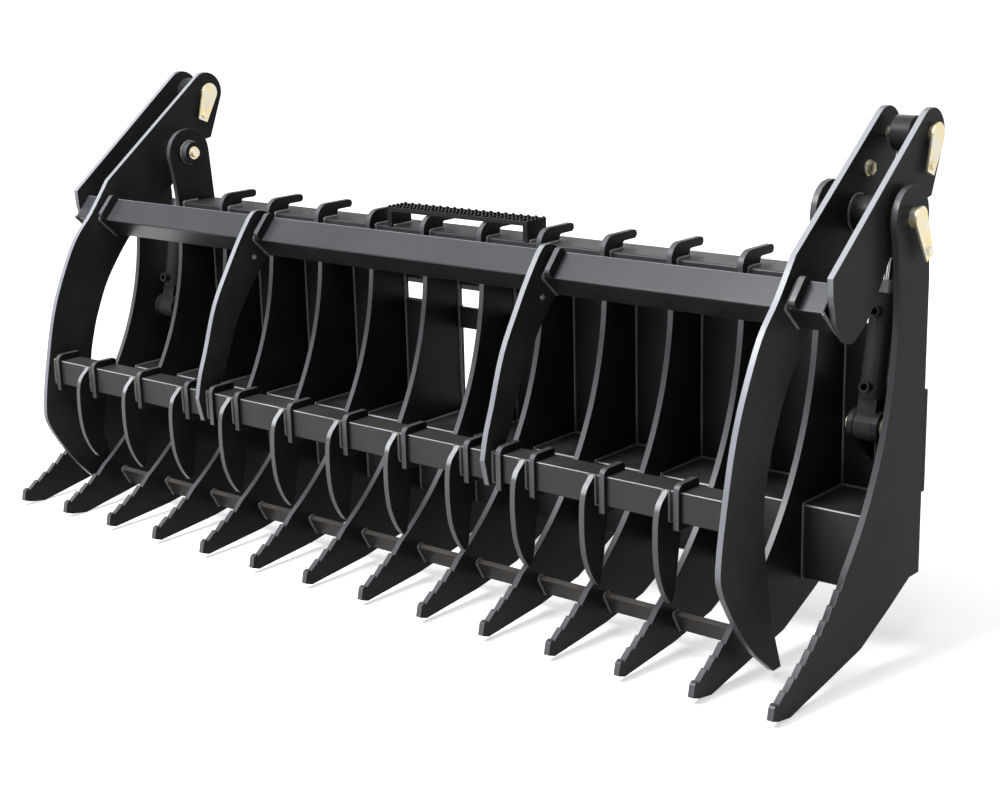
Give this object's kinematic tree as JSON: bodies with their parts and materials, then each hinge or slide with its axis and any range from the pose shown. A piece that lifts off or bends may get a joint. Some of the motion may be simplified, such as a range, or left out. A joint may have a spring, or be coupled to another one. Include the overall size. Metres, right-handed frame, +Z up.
{
  "type": "grapple_rake",
  "caption": "Black grapple rake for a loader: serrated tine plates on a welded frame, a full-width clamp with fingers, two hydraulic cylinders, rear quick-attach plates.",
  "frame": {"origin": "centre of the bounding box in plan, on the level of the lowest heel", "axes": "X along the width, to the right when looking at the open jaw; Y from the jaw to the loader; Z up"},
  "size_m": [2.1776, 0.6209, 1.0109],
  "materials": {
    "black_paint": "glossy black enamel over welded steel plate",
    "zinc_plate": "yellow zinc plated pins and flags",
    "steel": "bare machined steel",
    "chrome_rod": "hard chrome"
  },
  "bodies": {
    "frame": {"end_plate_left": "black_paint", "end_plate_right": "black_paint", "ear_plate_left": "black_paint", "ear_plate_right": "black_paint", "tine_03": "black_paint", "tine_04": "black_paint", "tine_05": "black_paint", "tine_06": "black_paint", "tine_07": "black_paint", "tine_08": "black_paint", "tine_09": "black_paint", "tine_10": "black_paint", "tine_11": "black_paint", "tine_12": "black_paint", "top_tube": "black_paint", "back_wall": "black_paint", "corner_plates": "black_paint", "bottom_beam": "black_paint", "front_cross_bar": "black_paint", "attach_plate_left": "black_paint", "attach_plate_right": "black_paint", "attach_top_lip": "black_paint", "step_grating": "black_paint", "step_brackets": "black_paint", "cylinder_lugs": "black_paint", "base_pin_left": "zinc_plate", "base_pin_right": "zinc_plate", "pivot_pin_left": "zinc_plate", "pivot_pin_right": "zinc_plate"},
    "clamp": {"upper_beam": "black_paint", "lower_beam": "black_paint", "arm_inner_left": "black_paint", "arm_inner_right": "black_paint", "arm_outer_left": "black_paint", "arm_outer_right": "black_paint", "claw_left": "black_paint", "claw_right": "black_paint", "finger_01": "black_paint", "finger_02": "black_paint", "finger_03": "black_paint", "finger_04": "black_paint", "finger_05": "black_paint", "finger_06": "black_paint", "finger_07": "black_paint", "finger_08": "black_paint", "finger_09": "black_paint", "finger_10": "black_paint", "finger_11": "black_paint", "beam_saddles": "black_paint", "arm_hubs": "black_paint", "pivot_bushes": "steel", "rod_pin_left": "zinc_plate", "rod_pin_right": "zinc_plate"},
    "barrel_left": {"barrel_left": "black_paint", "gland_left": "steel"},
    "barrel_right": {"barrel_right": "black_paint", "gland_right": "steel"},
    "rod_left": {"rod_left": "chrome_rod"},
    "rod_right": {"rod_right": "chrome_rod"}
  },
  "joints": [
    {"name": "clamp_pivot", "type": "hinge", "parent": "frame", "child": "clamp", "pos_m": [0, 0.1485, 0.82599], "axis": [-1, 0, 0], "range_deg": [0, 50]},
    {"name": "left_barrel_swing", "type": "hinge", "parent": "frame", "child": "barrel_left", "pos_m": [-0.9925, 0.1425, 0.42799], "axis": [-1, 0, 0], "range_deg": [0, 12.7]},
    {"name": "right_barrel_swing", "type": "hinge", "parent": "frame", "child": "barrel_right", "pos_m": [0.9925, 0.1425, 0.42799], "axis": [-1, 0, 0], "range_deg": [0, 12.7]},
    {"name": "left_rod_slide", "type": "slide", "parent": "barrel_left", "child": "rod_left", "axis": [0, -0.2162, -0.9764], "range_m": [0, 0.1025]},
    {"name": "right_rod_slide", "type": "slide", "parent": "barrel_right", "child": "rod_right", "axis": [0, -0.2162, -0.9764], "range_m": [0, 0.1025]}
  ],
  "couplings": [
    {"joint": "left_barrel_swing", "follows": "clamp_pivot", "ratio": 0.2514},
    {"joint": "right_barrel_swing", "follows": "clamp_pivot", "ratio": 0.2514},
    {"joint": "left_rod_slide", "follows": "clamp_pivot", "m_per_rad": 0.116},
    {"joint": "right_rod_slide", "follows": "clamp_pivot", "m_per_rad": 0.116}
  ]
}
